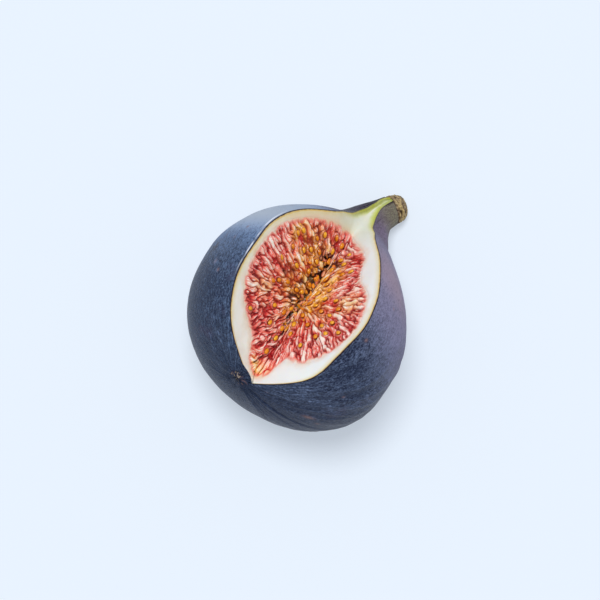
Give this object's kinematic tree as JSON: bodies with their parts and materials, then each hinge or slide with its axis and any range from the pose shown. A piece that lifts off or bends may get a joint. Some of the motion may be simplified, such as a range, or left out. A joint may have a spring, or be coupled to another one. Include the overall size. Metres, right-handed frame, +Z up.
{
  "type": "fresh fig",
  "caption": "Ripe purple fig lying on its side, with a quarter wedge cut out of the top that shows the seeded red pulp inside its pale rind.",
  "frame": {"origin": "on the surface that the fig lies on, below the middle of its bounding box", "axes": "+X along the fig's length in plan, from the eye towards the stem; +Z up, out of the cut; +Y to the left of the stem direction"},
  "size_m": [0.0626, 0.0528, 0.0479],
  "materials": {
    "skin": "thin purple-blue skin with a waxy grey-blue bloom",
    "flesh": "moist cream-white rind, smooth cut",
    "pulp": "wet translucent red strands",
    "seed": "wet golden seeds",
    "stem": "rough, dried cut end of the stem"
  },
  "bodies": {
    "root": {"fig": "skin"}
  },
  "joints": []
}
